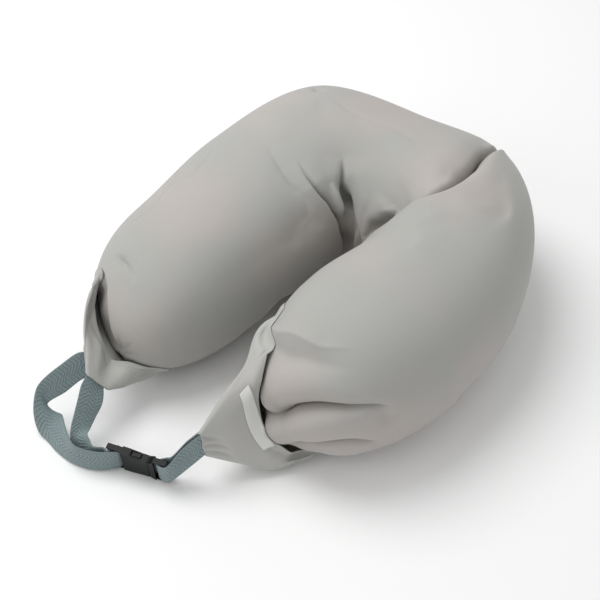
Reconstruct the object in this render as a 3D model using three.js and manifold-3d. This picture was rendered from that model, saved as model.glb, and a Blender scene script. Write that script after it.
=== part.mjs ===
// Travel pillow: a filled cloth tube bent into a U, with a cloth hood, a webbing strap and one half
// of a side-release buckle at each end. Millimetres, +Z up. The pillow lies on Z = 0 and the U opens
// towards -Y. All places below are in drawing axes; the last lines move the origin under the middle.

import * as THREE from 'three';
import * as BufferGeometryUtils from 'three/addons/utils/BufferGeometryUtils.js';
import Module from 'manifold-3d';

const wasm = await Module();
wasm.setup();

const CLOTH_COLOR = 0xb5b1ac;
const HOOD_COLOR = 0xa3a29e;
const WEBBING_COLOR = 0x7f8c8e;
const PLASTIC_COLOR = 0x101214;
const LABEL_COLOR = 0xe4e4e0;

const FLOOR = 0;
const GAP = 0.5;

// Sections of the filled tube, from the left end round the back to the right end. x and y are the
// section's middle, out is the direction of its outer side in degrees, half is half its width and
// top is the height of its crown.
const SECTIONS = [
  { x: -103, y: -167, out: 178, half: 70, top: 139 },
  { x: -103, y: -109, out: 178, half: 71, top: 147 },
  { x: -97, y: -44, out: 178, half: 74, top: 153 },
  { x: -88, y: 37, out: 168, half: 80, top: 161 },
  { x: -64, y: 118, out: 138, half: 82, top: 164 },
  { x: 7, y: 133, out: 97, half: 78, top: 157 },
  { x: 76, y: 125, out: 70, half: 80, top: 162 },
  { x: 104, y: 38, out: 13, half: 78, top: 163 },
  { x: 95, y: -40, out: -1, half: 83, top: 163 },
  { x: 89, y: -114, out: 3, half: 78, top: 162 },
  { x: 98, y: -160, out: 14, half: 80, top: 152 },
];
const SINK = 7;
const SQUARENESS = 2.25;
const END_LENGTH = 105;
const END_SQUARENESS = 2.2;
const END_RINGS = 14;
const MIDDLE_RINGS = 52;
const POINTS_AROUND = 48;

// Folds of the cushion's cloth. A fold follows its path over the surface: depth is how far the cloth
// is drawn in (less than 0 for a ridge), width is how wide it is, and sharp is 1 for a crease and 2
// for a soft hollow. Each point of a path is x, y, z and the fold's strength there.
const FOLDS = [
  {
    name: 'right end, upper crease', depth: 15, width: 14, sharp: 2,
    path: [[58, -158, 70, 0.3], [84, -162, 86, 1], [110, -155, 99, 0.9], [132, -141, 104, 0.5], [158, -110, 102, 0]],
  },
  {
    name: 'right end, lower crease', depth: 12, width: 13, sharp: 2,
    path: [[84, -156, 46, 0.5], [104, -158, 62, 1], [122, -152, 70, 0.9], [138, -142, 68, 0.5], [158, -118, 54, 0]],
  },
  {
    name: 'right end, hollow under the ridge', depth: 6, width: 18, sharp: 2,
    path: [[60, -146, 126, 0.3], [78, -143, 134, 0.9], [104, -140, 137, 0.5], [128, -126, 138, 0.1]],
  },
  {
    name: 'right end, ridge', depth: -4, width: 10, sharp: 2,
    path: [[42, -121, 132, 0.7], [58, -123, 143, 0.9], [74, -124, 148, 0.7], [89, -124, 149, 0.4], [112, -114, 152, 0]],
  },
  {
    name: 'left end, tuck at the hood', depth: 6, width: 9, sharp: 1.6,
    path: [[-107, -163, 54, 1], [-99, -162, 68, 0.6], [-96, -158, 80, 0]],
  },
  {
    name: 'inner bend, long crease', depth: 12, width: 14, sharp: 1.5,
    path: [[-50, 48, 154, 0.2], [-30, 44, 138, 0.4], [-18, 43, 119, 0.7], [-11, 50, 91, 1], [-10, 66, 51, 1]],
  },
  {
    name: 'inner bend, short crease', depth: 11, width: 12, sharp: 1.5,
    path: [[-25, 80, 141, 0.3], [-15, 72, 124, 0.5], [-6, 68, 106, 0.8], [9, 58, 82, 1], [14, 60, 50, 1]],
  },
  {
    name: 'inner bend, soft hollow', depth: 5, width: 20, sharp: 2,
    path: [[-112, 58, 157, 0.1], [-78, 40, 159, 0.3], [-53, 29, 153, 0.6], [-37, 27, 139, 0.8], [-24, 20, 112, 1]],
  },
  {
    name: 'right bend, deep fold', depth: 15, width: 14, sharp: 1.5,
    path: [[87, 186, 138, 0.5], [92, 160, 153, 0.9], [94, 130, 161, 1], [87, 107, 162, 0.7], [76, 84, 158, 0.3]],
  },
  {
    name: 'right bend, inner pinch', depth: 12, width: 14, sharp: 1.5,
    path: [[70, 80, 156, 0.2], [48, 68, 134, 0.6], [34, 64, 116, 1], [24, 60, 92, 1]],
  },
  {
    name: 'right arm, soft hollow', depth: 4, width: 20, sharp: 2,
    path: [[47, 60, 128, 0.4], [82, 68, 160, 0.5], [112, 92, 161, 0.3], [150, 96, 138, 0]],
  },
];

// Rings of the two hoods, from inside the cushion's end over the mouth to the tip, where the strap is
// sewn in. Each ring is named by its points: over the top, down the face that shows, along the foot
// and up the back.
const RIGHT_HOOD = [
  {
    top: [31, -92, 127], brow: [56, -112, 118], face: [60, -124, 96], cheek: [60, -128, 68],
    jaw: [74, -134, 40], foot: [100, -126, 16], heel: [74, -108, 3], backLow: [42, -92, 24],
    back: [32, -80, 62], backTop: [28, -78, 106],
  },
  {
    top: [18, -114, 113], brow: [40, -132, 119], face: [45, -147, 98], cheek: [44, -152, 70],
    jaw: [56, -157, 40], foot: [86, -149, 14], heel: [66, -132, 2], backLow: [28, -118, 20],
    back: [15, -108, 58], backTop: [13, -107, 97],
  },
  {
    top: [25, -146, 99], brow: [32, -150, 99], face: [38, -162, 85], cheek: [40, -168, 64],
    jaw: [49, -172, 40], foot: [69, -168, 7], heel: [54, -157, 2], backLow: [30, -148, 16],
    back: [19, -142, 46], backTop: [21, -141, 81],
  },
  {
    top: [21, -178, 82], brow: [25, -180, 82], face: [30, -183, 73], cheek: [34, -186, 57],
    jaw: [40, -188, 40], foot: [47, -186, 20], heel: [42, -180, 14], backLow: [29, -175, 22],
    back: [18, -174, 44], backTop: [17, -174, 67],
  },
  {
    top: [18, -205, 62], brow: [20, -205, 62], face: [22, -205, 56], cheek: [23, -206, 47],
    jaw: [24, -205, 38], foot: [24, -204, 33], heel: [21, -203, 32], backLow: [17, -202, 37],
    back: [16, -202, 47], backTop: [15, -203, 57],
  },
];
const LEFT_HOOD = [
  {
    top: [-143, -96, 104], brow: [-132, -108, 100], face: [-124, -122, 82], cheek: [-110, -136, 64],
    jaw: [-92, -142, 48], foot: [-66, -130, 40], heel: [-74, -112, 14], backLow: [-112, -96, 3],
    back: [-146, -90, 24], backTop: [-158, -86, 66],
  },
  {
    top: [-149, -124, 108], brow: [-144, -133, 103], face: [-140, -150, 82], cheek: [-126, -165, 63],
    jaw: [-105, -171, 49], foot: [-71, -155, 40], heel: [-77, -138, 17], backLow: [-114, -124, 5],
    back: [-154, -116, 26], backTop: [-168, -115, 66],
  },
  {
    top: [-145, -152, 93], brow: [-141, -157, 91], face: [-132, -170, 78], cheek: [-117, -178, 64],
    jaw: [-100, -180, 50], foot: [-79, -170, 36], heel: [-83, -152, 18], backLow: [-108, -142, 13],
    back: [-136, -140, 32], backTop: [-150, -144, 62],
  },
  {
    top: [-131, -178, 82], brow: [-127, -181, 82], face: [-117, -187, 75], cheek: [-107, -191, 65],
    jaw: [-97, -192, 52], foot: [-85, -187, 40], heel: [-86, -178, 32], backLow: [-98, -172, 34],
    back: [-116, -170, 46], backTop: [-130, -172, 64],
  },
  {
    top: [-101, -212, 70], brow: [-98, -212, 69], face: [-95, -210, 65], cheek: [-92, -208, 60],
    jaw: [-89, -205, 54], foot: [-86, -202, 48], heel: [-90, -201, 45], backLow: [-96, -202, 48],
    back: [-101, -205, 56], backTop: [-104, -209, 65],
  },
];
const HOOD_POINTS = ['top', 'brow', 'face', 'cheek', 'jaw', 'foot', 'heel', 'backLow', 'back', 'backTop'];
const HOOD_RINGS = 13;
const HOOD_POINTS_AROUND = 40;

const STRAP_THICK = 1.5;
const STRAP_WIDE = 25;
const STRAP_STEPS = 4;

// The buckle stands on its long edge and leans a little towards the front. In its own axes, along is
// measured from its left end, up from its lower edge and side across its thickness, to the back.
const BUCKLE_PLACE = { x: -59, y: -237, z: 1.2, turn: 13, lean: 8 };
const BUCKLE = {
  long: 58, high: 28.8, thick: 8, ear: 1.4, earThick: 5.6, bar: 2.6, barThick: 2.6, round: 0.8,
  frame: 14.5, join: 40, shoulder: 46, waist: 2, wall: 1.6, back: 2.5, endBar: 1.4,
};
const LEFT_BAR = 9;
const RIGHT_BAR = 51;
// The side windows of the socket, and the two sprung arms of the plug with their release pads.
const WINDOW = { from: 23.5, to: 34, deep: 5.5 };
const ARM = { from: 20, wide: 3.4, inset: 5.4, guideFrom: 24, guideWide: 4 };

// Cubic curve through rows of named numbers, each at its own distance along the curve.
function curveThrough(rows, keys, places) {
  const last = rows.length - 1;
  const slope = (i, key) => {
    const before = Math.max(i - 1, 0);
    const after = Math.min(i + 1, last);
    return (rows[after][key] - rows[before][key]) / (places[after] - places[before]);
  };
  return (place) => {
    let i = 0;
    while (i < last - 1 && place > places[i + 1]) i += 1;
    const span = places[i + 1] - places[i];
    const s = (place - places[i]) / span;
    const value = {};
    for (const key of keys) {
      const rise = rows[i + 1][key] - rows[i][key];
      const from = slope(i, key) * span;
      const to = slope(i + 1, key) * span;
      value[key] = rows[i][key] + s * (from + s * (3 * rise - 2 * from - to + s * (from + to - 2 * rise)));
    }
    return value;
  };
}

function signedVolume(points, index) {
  const normal = new THREE.Vector3();
  let volume = 0;
  for (let i = 0; i < index.length; i += 3) {
    volume += normal.crossVectors(points[index[i]], points[index[i + 1]]).dot(points[index[i + 2]]) / 6;
  }
  return volume;
}

// Closed mesh over rings of points, with a fan over the first and the last ring. Its faces point out
// whichever way round the rings run.
function closedLoft(rings) {
  const around = rings[0].length;
  const points = rings.flat();
  const middle = (ring) => ring.reduce((sum, p) => sum.add(p), new THREE.Vector3()).divideScalar(around);
  points.push(middle(rings[0]), middle(rings[rings.length - 1]));
  const index = [];
  const lastRing = (rings.length - 1) * around;
  for (let j = 0; j < around; j += 1) {
    const next = (j + 1) % around;
    for (let i = 0; i < lastRing; i += around) {
      index.push(i + j, i + next, i + around + next, i + j, i + around + next, i + around + j);
    }
    index.push(lastRing + around, next, j, lastRing + around + 1, lastRing + j, lastRing + next);
  }
  if (signedVolume(points, index) < 0) index.reverse();
  const geometry = new THREE.BufferGeometry().setFromPoints(points);
  geometry.setIndex(index);
  return geometry;
}

function merged(geometry) {
  const bare = geometry.clone();
  for (const name of Object.keys(bare.attributes)) {
    if (name !== 'position') bare.deleteAttribute(name);
  }
  return BufferGeometryUtils.mergeVertices(bare, 1e-3);
}

function toSolid(geometry) {
  const bare = merged(geometry);
  return new wasm.Manifold(new wasm.Mesh({
    numProp: 3,
    vertProperties: new Float32Array(bare.attributes.position.array),
    triVerts: new Uint32Array(bare.index.array),
  }));
}

// The largest body of a solid, as a geometry, so that no sliver of a cut is kept.
function toGeometry(solid) {
  const bodies = solid.decompose().sort((a, b) => b.volume() - a.volume());
  const mesh = bodies[0].getMesh();
  const geometry = new THREE.BufferGeometry();
  geometry.setAttribute('position', new THREE.BufferAttribute(new Float32Array(mesh.vertProperties), 3));
  geometry.setIndex(new THREE.BufferAttribute(new Uint32Array(mesh.triVerts), 1));
  return geometry;
}

// Nearest place on a path to a point: how far away it is, and how far along the path it lies.
function nearestOnPath(point, path) {
  const best = { away: Infinity, along: 0 };
  const nearest = new THREE.Vector3();
  for (let i = 0; i < path.length - 1; i += 1) {
    const leg = new THREE.Line3(path[i], path[i + 1]);
    const part = leg.closestPointToPointParameter(point, true);
    const away = leg.at(part, nearest).distanceTo(point);
    if (away < best.away) {
      best.away = away;
      best.along = (i + part) / (path.length - 1);
    }
  }
  return best;
}

const foldPaths = FOLDS.map((fold) => fold.path.map(([x, y, z]) => new THREE.Vector3(x, y, z)));

// How far the folds draw the cloth in at a point of the plain surface.
function foldDepth(point) {
  let depth = 0;
  FOLDS.forEach((fold, k) => {
    const { away, along } = nearestOnPath(point, foldPaths[k]);
    const place = along * (fold.path.length - 1);
    const i = Math.min(Math.floor(place), fold.path.length - 2);
    const strength = THREE.MathUtils.lerp(fold.path[i][3], fold.path[i + 1][3], place - i);
    depth += fold.depth * strength * Math.exp(-((away / fold.width) ** fold.sharp));
  });
  return depth;
}

function outwardNormals(geometry) {
  geometry.computeVertexNormals();
  return geometry.attributes.normal;
}

// The filled tube with its folds. grow moves the whole surface outwards.
function cushionGeometry(grow = 0) {
  const places = [0];
  for (let i = 1; i < SECTIONS.length; i += 1) {
    const a = SECTIONS[i - 1];
    const b = SECTIONS[i];
    places.push(places[i - 1] + Math.hypot(b.x - a.x, b.y - a.y));
  }
  const long = places[places.length - 1];
  const section = curveThrough(SECTIONS, ['x', 'y', 'out', 'half', 'top'], places);

  const stops = [];
  for (let i = 1; i <= END_RINGS; i += 1) {
    const turn = (i / END_RINGS) * (Math.PI / 2);
    const fullness = Math.sin(turn) ** (2 / END_SQUARENESS);
    stops.push({ place: END_LENGTH * (1 - Math.cos(turn) ** (2 / END_SQUARENESS)), fullness });
  }
  const ends = [...stops].reverse().map((stop) => ({ ...stop, place: long - stop.place }));
  const middle = long - 2 * END_LENGTH;
  for (let i = 1; i < MIDDLE_RINGS; i += 1) {
    stops.push({ place: END_LENGTH + (middle * i) / MIDDLE_RINGS, fullness: 1 });
  }
  stops.push(...ends);

  const bend = (value) => Math.sign(value) * Math.abs(value) ** (2 / SQUARENESS);
  const rings = stops.map(({ place, fullness }) => {
    const { x, y, out, half, top } = section(place);
    const outward = THREE.MathUtils.degToRad(out);
    const tall = (top + SINK) / 2;
    const ring = [];
    for (let j = 0; j < POINTS_AROUND; j += 1) {
      const turn = (j / POINTS_AROUND) * 2 * Math.PI;
      const across = half * fullness * bend(Math.cos(turn));
      const z = tall - SINK + tall * fullness * bend(Math.sin(turn));
      ring.push(new THREE.Vector3(
        x + across * Math.cos(outward),
        y + across * Math.sin(outward),
        Math.max(z, FLOOR),
      ));
    }
    return ring;
  });
  const geometry = closedLoft(rings);
  const normals = outwardNormals(geometry);
  const position = geometry.attributes.position;
  const point = new THREE.Vector3();
  const normal = new THREE.Vector3();
  for (let i = 0; i < position.count; i += 1) {
    point.fromBufferAttribute(position, i);
    normal.fromBufferAttribute(normals, i);
    if (point.z > FLOOR) {
      point.addScaledVector(normal, grow - foldDepth(point));
      point.z = Math.max(point.z, FLOOR + 0.01);
    }
    position.setXYZ(i, point.x, point.y, Math.max(point.z, FLOOR));
  }
  return geometry;
}

// Smooth skin of a hood: a point for a share round the ring and a share of the way to the tip.
function hoodSkin(rows) {
  const rings = rows.map((row) => HOOD_POINTS.map((name) => new THREE.Vector3(...row[name])));
  const closed = rings.map((points) => new THREE.CatmullRomCurve3(points, true));
  return (round, along) => {
    const line = closed.map((ring) => ring.getPoint(round));
    return new THREE.CatmullRomCurve3(line, false).getPoint(along);
  };
}

function hoodRings(skin) {
  const rings = [];
  for (let i = 0; i < HOOD_RINGS; i += 1) {
    const ring = [];
    for (let j = 0; j < HOOD_POINTS_AROUND; j += 1) {
      const point = skin(j / HOOD_POINTS_AROUND, i / (HOOD_RINGS - 1));
      point.z = Math.max(point.z, FLOOR + 0.02);
      ring.push(point);
    }
    rings.push(ring);
  }
  return rings;
}

// A webbing strap through rows of its upper and lower edge points. grow thickens it on all sides.
function strapGeometry(rows, grow = 0) {
  const edge = (name) => new THREE.CatmullRomCurve3(rows.map((row) => new THREE.Vector3(...row[name])), false);
  const upper = edge('upper');
  const lower = edge('lower');
  const steps = (rows.length - 1) * STRAP_STEPS;
  const rings = [];
  for (let i = 0; i <= steps; i += 1) {
    const s = i / steps;
    const a = upper.getPoint(s);
    const b = lower.getPoint(s);
    const across = b.clone().sub(a).normalize();
    const along = upper.getTangent(s).add(lower.getTangent(s)).normalize();
    const face = new THREE.Vector3().crossVectors(along, across).normalize();
    a.addScaledVector(across, -grow);
    b.addScaledVector(across, grow);
    if (i === 0) [a, b].forEach((p) => p.addScaledVector(along, -grow));
    if (i === steps) [a, b].forEach((p) => p.addScaledVector(along, grow));
    const half = STRAP_THICK / 2 + grow;
    rings.push([
      a.clone().addScaledVector(face, half),
      b.clone().addScaledVector(face, half),
      b.clone().addScaledVector(face, -half),
      a.clone().addScaledVector(face, -half),
    ]);
  }
  return closedLoft(rings);
}

function buckleAxes() {
  return new THREE.Matrix4()
    .makeTranslation(BUCKLE_PLACE.x, BUCKLE_PLACE.y, BUCKLE_PLACE.z)
    .multiply(new THREE.Matrix4().makeRotationZ(THREE.MathUtils.degToRad(BUCKLE_PLACE.turn)))
    .multiply(new THREE.Matrix4().makeRotationX(THREE.MathUtils.degToRad(BUCKLE_PLACE.lean)));
}

// A point given along, side and up in the buckle's own axes.
function atBuckle(along, side, up) {
  return new THREE.Vector3(along, side, up).applyMatrix4(buckleAxes()).toArray();
}

// Rows of a strap that turns round a buckle bar, between two angles counted from the near side.
function turnRound(bar, direction, fromDegrees, toDegrees) {
  const reach = Math.hypot(BUCKLE.bar, BUCKLE.barThick) / 2 + STRAP_THICK / 2 + GAP;
  const steps = 4;
  const rows = [];
  for (let i = 0; i <= steps; i += 1) {
    const turn = THREE.MathUtils.degToRad(THREE.MathUtils.lerp(fromDegrees, toDegrees, i / steps));
    rows.push(onEdge(bar + direction * reach * Math.sin(turn), -reach * Math.cos(turn)));
  }
  return rows;
}

// A row of a strap that stands on its edge at the buckle, raised by lift.
function onEdge(along, side, lift = 0) {
  const low = (BUCKLE.high - STRAP_WIDE) / 2 + lift;
  return { upper: atBuckle(along, side, low + STRAP_WIDE), lower: atBuckle(along, side, low) };
}

// Rows of the two straps, from one sewn end to the bar. In the left strap the edge that starts on top
// ends up underneath, so its rows at the buckle are turned over.
const LEFT_STRAP = [
  { upper: [-114, -192, 66], lower: [-98, -194, 51] },
  { upper: [-119, -197, 73], lower: [-110, -205, 51] },
  { upper: [-131, -215, 63], lower: [-123, -220, 37] },
  { upper: [-141, -230, 50], lower: [-135, -233, 25] },
  { upper: [-143, -236, 43], lower: [-132, -233, 19] },
  { upper: [-141, -246, 22], lower: [-120, -232, 20] },
  { upper: [-133, -251, 4], lower: [-114, -236, 22] },
  { upper: [-121, -253, 1], lower: [-107, -242, 25] },
  { upper: [-107, -257, 1], lower: [-98, -249, 26] },
  { upper: [-87, -259, 1], lower: [-84, -256, 26] },
  { upper: [-68, -255, 1], lower: [-68, -253, 26] },
  { upper: [-55, -247, 2], lower: [-55, -247, 27] },
];
const LEFT_STRAP_RETURN = [
  { upper: [-60, -244, 2], lower: [-60, -244, 27] },
  { upper: [-71, -250, 2], lower: [-69, -248, 27] },
  { upper: [-85, -252, 7], lower: [-76, -244, 27] },
  { upper: [-94, -250, 17], lower: [-82, -240, 26] },
  { upper: [-98, -244, 27], lower: [-85, -233, 24] },
  { upper: [-100, -235, 38], lower: [-86, -223, 30] },
  { upper: [-101, -227, 49], lower: [-85, -214, 39] },
  { upper: [-102, -219, 60], lower: [-87, -208, 46] },
  { upper: [-101, -211, 68], lower: [-90, -204, 50] },
  { upper: [-105, -205, 67], lower: [-92, -201, 49] },
];
const RIGHT_STRAP = [
  { upper: [22, -190, 62], lower: [26, -192, 39] },
  { upper: [19, -204, 60], lower: [22.5, -205, 35] },
  { upper: [9, -218, 47], lower: [13, -217, 22] },
];
const RIGHT_STRAP_RETURN = [
  { upper: [8, -210, 49], lower: [11, -208, 24] },
  { upper: [16, -202, 60], lower: [19.5, -203, 35] },
  { upper: [18.5, -190, 62], lower: [22, -191, 39] },
];

function turnedOver(rows) {
  return rows.map(({ upper, lower }) => ({ upper: lower, lower: upper }));
}

const leftStrapRows = [
  ...LEFT_STRAP,
  ...turnedOver([...turnRound(LEFT_BAR, 1, 40, 195), onEdge(6, 1.4), onEdge(4.5, -1.2), onEdge(2, -4.8)]),
  ...LEFT_STRAP_RETURN,
];
const rightStrapRows = [
  ...RIGHT_STRAP,
  onEdge(60.5, -5.2, 5.5),
  onEdge(55, -5.2, 1.5),
  ...turnRound(RIGHT_BAR, -1, 20, 160),
  onEdge(55, 5.2, 1.5),
  onEdge(60.5, 5.4, 6),
  ...RIGHT_STRAP_RETURN,
];

// A plate in the buckle's axes, from its outline seen from the side (along, up).
function plate(outline, thick) {
  const geometry = new THREE.ExtrudeGeometry(outline, { depth: thick, bevelEnabled: false, curveSegments: 4 });
  geometry.translate(0, 0, -thick / 2);
  geometry.rotateX(Math.PI / 2);
  return toSolid(geometry);
}

function block(alongFrom, alongTo, upFrom, upTo, thick) {
  const round = Math.min(BUCKLE.round, (upTo - upFrom) / 2.5);
  const outline = new THREE.Shape();
  outline.absarc(alongTo - round, upFrom + round, round, -Math.PI / 2, 0);
  outline.absarc(alongTo - round, upTo - round, round, 0, Math.PI / 2);
  outline.absarc(alongFrom + round, upTo - round, round, Math.PI / 2, Math.PI);
  outline.absarc(alongFrom + round, upFrom + round, round, Math.PI, Math.PI * 1.5);
  return plate(outline, thick);
}

// A plate whose two long edges sweep from one height above the buckle's lower edge to another.
function sweptPlate(alongFrom, alongTo, edgeFrom, edgeTo, thick) {
  const { high } = BUCKLE;
  const middle = (alongFrom + alongTo) / 2;
  const outline = new THREE.Shape();
  outline.moveTo(alongFrom, edgeFrom);
  outline.bezierCurveTo(middle, edgeFrom, middle, edgeTo, alongTo, edgeTo);
  outline.lineTo(alongTo, high - edgeTo);
  outline.bezierCurveTo(middle, high - edgeTo, middle, high - edgeFrom, alongFrom, high - edgeFrom);
  return plate(outline, thick);
}

// Ears and bars that a strap passes round, from one place along the buckle to another.
function strapFrame(from, to, bars) {
  const { high, ear, earThick, bar, barThick } = BUCKLE;
  let frame = block(from, to, 0, ear, earThick);
  frame = frame.add(block(from, to, high - ear, high, earThick));
  for (const middle of bars) {
    frame = frame.add(block(middle - bar / 2, middle + bar / 2, ear / 2, high - ear / 2, barThick));
  }
  return frame;
}

function socketHalf() {
  const { frame, join, shoulder, high, thick, wall, back, waist, endBar } = BUCKLE;
  const inside = thick - 2 * wall;
  const inset = waist + wall;
  let solid = sweptPlate(frame, join, 0, waist, thick);
  solid = solid.add(strapFrame(0, frame + 1, [endBar, LEFT_BAR]));
  solid = solid.subtract(block(frame + back, shoulder, inset, high - inset, inside));
  solid = solid.subtract(block(WINDOW.from, WINDOW.to, -1, WINDOW.deep, inside));
  return solid.subtract(block(WINDOW.from, WINDOW.to, high - WINDOW.deep, high + 1, inside));
}

function plugHalf() {
  const { long, join, shoulder, high, thick, wall, waist, endBar } = BUCKLE;
  const inside = thick - 2 * wall - 2 * GAP;
  const padInner = ARM.inset + ARM.wide;
  let solid = sweptPlate(join + GAP, shoulder, waist, 0, thick);
  solid = solid.add(strapFrame(shoulder - 1, long, [RIGHT_BAR, long - endBar]));
  for (const up of [ARM.inset, high - padInner]) {
    solid = solid.add(block(ARM.from, join + 1, up, up + ARM.wide, inside));
  }
  const pad = [WINDOW.from + GAP, WINDOW.to - GAP];
  solid = solid.add(block(...pad, waist / 2, padInner, inside));
  solid = solid.add(block(...pad, high - padInner, high - waist / 2, inside));
  const guide = [high / 2 - ARM.guideWide / 2, high / 2 + ARM.guideWide / 2];
  return solid.add(block(ARM.guideFrom, join + 1, ...guide, inside));
}

// The bare label is a thin strip on the right hood's face, along its mouth. Its two short ends are
// given by how far round the hood they lie, and by where they start and stop on the way to the tip.
const LABEL = {
  head: { round: 0.17, near: 0.475, far: 0.58 },
  tail: { round: 0.43, near: 0.3, far: 0.45 },
  lift: 0.6, thick: 1, steps: 9, rows: 3,
};

function labelGeometry(skin) {
  const step = 0.004;
  const outside = (round, along) => {
    const aroundWay = skin(round + step, along).sub(skin(round - step, along));
    const tipWay = skin(round, along + step).sub(skin(round, along - step));
    return new THREE.Vector3().crossVectors(tipWay, aroundWay).normalize();
  };
  const { head, tail, lift, thick } = LABEL;
  const rings = [];
  for (let i = 0; i <= LABEL.steps; i += 1) {
    const s = i / LABEL.steps;
    const round = THREE.MathUtils.lerp(head.round, tail.round, s);
    const near = THREE.MathUtils.lerp(head.near, tail.near, s);
    const far = THREE.MathUtils.lerp(head.far, tail.far, s);
    const low = [];
    const high = [];
    for (let j = 0; j <= LABEL.rows; j += 1) {
      const along = THREE.MathUtils.lerp(near, far, j / LABEL.rows);
      const out = outside(round, along);
      low.push(skin(round, along).addScaledVector(out, lift));
      high.push(skin(round, along).addScaledVector(out, lift + thick));
    }
    rings.push([...high, ...low.reverse()]);
  }
  return closedLoft(rings);
}

function cloth(color) {
  return new THREE.MeshStandardMaterial({ color, roughness: 0.9, metalness: 0 });
}

function plastic(color) {
  return new THREE.MeshStandardMaterial({ color, roughness: 0.35, metalness: 0 });
}

function named(name, geometry, material) {
  const mesh = new THREE.Mesh(geometry, material);
  mesh.name = name;
  return mesh;
}

const cushion = cushionGeometry();
const cushionRoom = toSolid(cushionGeometry(GAP));
const leftStrap = strapGeometry(leftStrapRows);
const rightStrap = strapGeometry(rightStrapRows);
const leftHoodSkin = hoodSkin(LEFT_HOOD);
const rightHoodSkin = hoodSkin(RIGHT_HOOD);
const leftHood = toSolid(closedLoft(hoodRings(leftHoodSkin)))
  .subtract(cushionRoom)
  .subtract(toSolid(strapGeometry(leftStrapRows, GAP)));
const rightHood = toSolid(closedLoft(hoodRings(rightHoodSkin)))
  .subtract(cushionRoom)
  .subtract(toSolid(strapGeometry(rightStrapRows, GAP)));

const pieces = new THREE.Group();
pieces.add(
  named('cushion', cushion, cloth(CLOTH_COLOR)),
  named('hood_left', toGeometry(leftHood), cloth(HOOD_COLOR)),
  named('hood_right', toGeometry(rightHood), cloth(HOOD_COLOR)),
  named('label', labelGeometry(rightHoodSkin), cloth(LABEL_COLOR)),
  named('strap_left', leftStrap, cloth(WEBBING_COLOR)),
  named('strap_right', rightStrap, cloth(WEBBING_COLOR)),
  named('buckle_socket', toGeometry(socketHalf().transform(buckleAxes().toArray())), plastic(PLASTIC_COLOR)),
  named('buckle_plug', toGeometry(plugHalf().transform(buckleAxes().toArray())), plastic(PLASTIC_COLOR)),
);

const box = new THREE.Box3().setFromObject(pieces);
const centre = box.getCenter(new THREE.Vector3());
pieces.position.set(-centre.x, -centre.y, -box.min.z);

const pillow = new THREE.Group();
pillow.add(pieces);
export default pillow;
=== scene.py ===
import math

import bmesh
import bpy
import numpy as np
from mathutils import Matrix, Vector
from mathutils.bvhtree import BVHTree


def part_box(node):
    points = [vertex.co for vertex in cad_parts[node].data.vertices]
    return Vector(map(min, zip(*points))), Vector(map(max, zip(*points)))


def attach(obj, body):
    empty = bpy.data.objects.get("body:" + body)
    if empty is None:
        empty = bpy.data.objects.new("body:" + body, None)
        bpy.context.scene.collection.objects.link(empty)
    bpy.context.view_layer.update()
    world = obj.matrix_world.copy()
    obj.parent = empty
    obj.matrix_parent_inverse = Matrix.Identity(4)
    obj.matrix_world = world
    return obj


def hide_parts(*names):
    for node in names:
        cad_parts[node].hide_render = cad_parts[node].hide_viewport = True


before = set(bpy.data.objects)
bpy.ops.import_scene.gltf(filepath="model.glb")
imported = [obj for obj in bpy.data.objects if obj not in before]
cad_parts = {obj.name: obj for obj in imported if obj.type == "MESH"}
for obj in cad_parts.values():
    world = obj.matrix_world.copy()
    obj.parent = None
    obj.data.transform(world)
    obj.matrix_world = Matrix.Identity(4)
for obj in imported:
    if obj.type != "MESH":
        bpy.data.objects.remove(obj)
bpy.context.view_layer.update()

# Shapes are worked out in millimetres, in the drawing axes of the CAD source: +Z up, the U opens
# towards -Y. MM and to_frame() bring them into the row frame, in metres.
MM = 0.001

# Sections of the filled tube, from the left end round the back to the right end: x and y of the
# middle, out the direction of the outer side in degrees, half the half width, top the crown's height.
SECTIONS = [
    (-103, -167, 178, 70, 139),
    (-103, -109, 178, 71, 147),
    (-97, -44, 178, 74, 153),
    (-88, 37, 168, 80, 161),
    (-64, 118, 138, 82, 164),
    (7, 133, 97, 78, 157),
    (76, 125, 70, 80, 162),
    (104, 38, 13, 78, 163),
    (95, -40, -1, 83, 163),
    (89, -114, 3, 78, 162),
    (98, -160, 14, 80, 152),
]

# The floor cuts the tube off SINK above its round underside. A squareness of 2 is an ellipse.
SINK = 7
SQUARENESS = 2.25
END_LENGTH = 105
END_SQUARENESS = 2.2

# Rings over each end of the tube, rings between them and points round a ring. Within FINE_REACH of a
# fine fold the mesh is cut FINE_CUTS times more.
END_RINGS = 46
MIDDLE_RINGS = 176
POINTS_AROUND = 176
FINE_REACH = 7
FINE_CUTS = 2

# On an end, faces that look out along it by more than END_FACING carry a map that is laid on straight.
END_FACING = 0.7

# The cloth simulation works on fewer rings. The cloth starts a little shrunk, with part of each fold,
# and the pressure of the filling blows it up round the creases, which are held.
SIM_RINGS = (24, 110, 104)
SIM_FRAMES = 20
SIM_QUALITY = 6
SIM_FOLD_SHARE = 0.8
SIM_LEAST_WIDTH = 10
SIM_SHRINK = 5
SIM_SLACK = 0.03
SIM_PRESSURE = 5
SIM_STIFFNESS = 15
SIM_BENDING = 8
SIM_DAMPING = 5
HOLD_WIDTH = 5
LEAST_HOLD = 0.02
FLOOR_REACH = 0.5
FLOOR_CLEAR = 0.6

# No point moves further than SIM_CAP by it, and it fades out within about CALM_REACH of a held fold.
# The last POLE_RINGS rings of each end move more and more as one.
SIM_CAP = 5
CALM_REACH = 22
POLE_RINGS = 10

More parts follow.
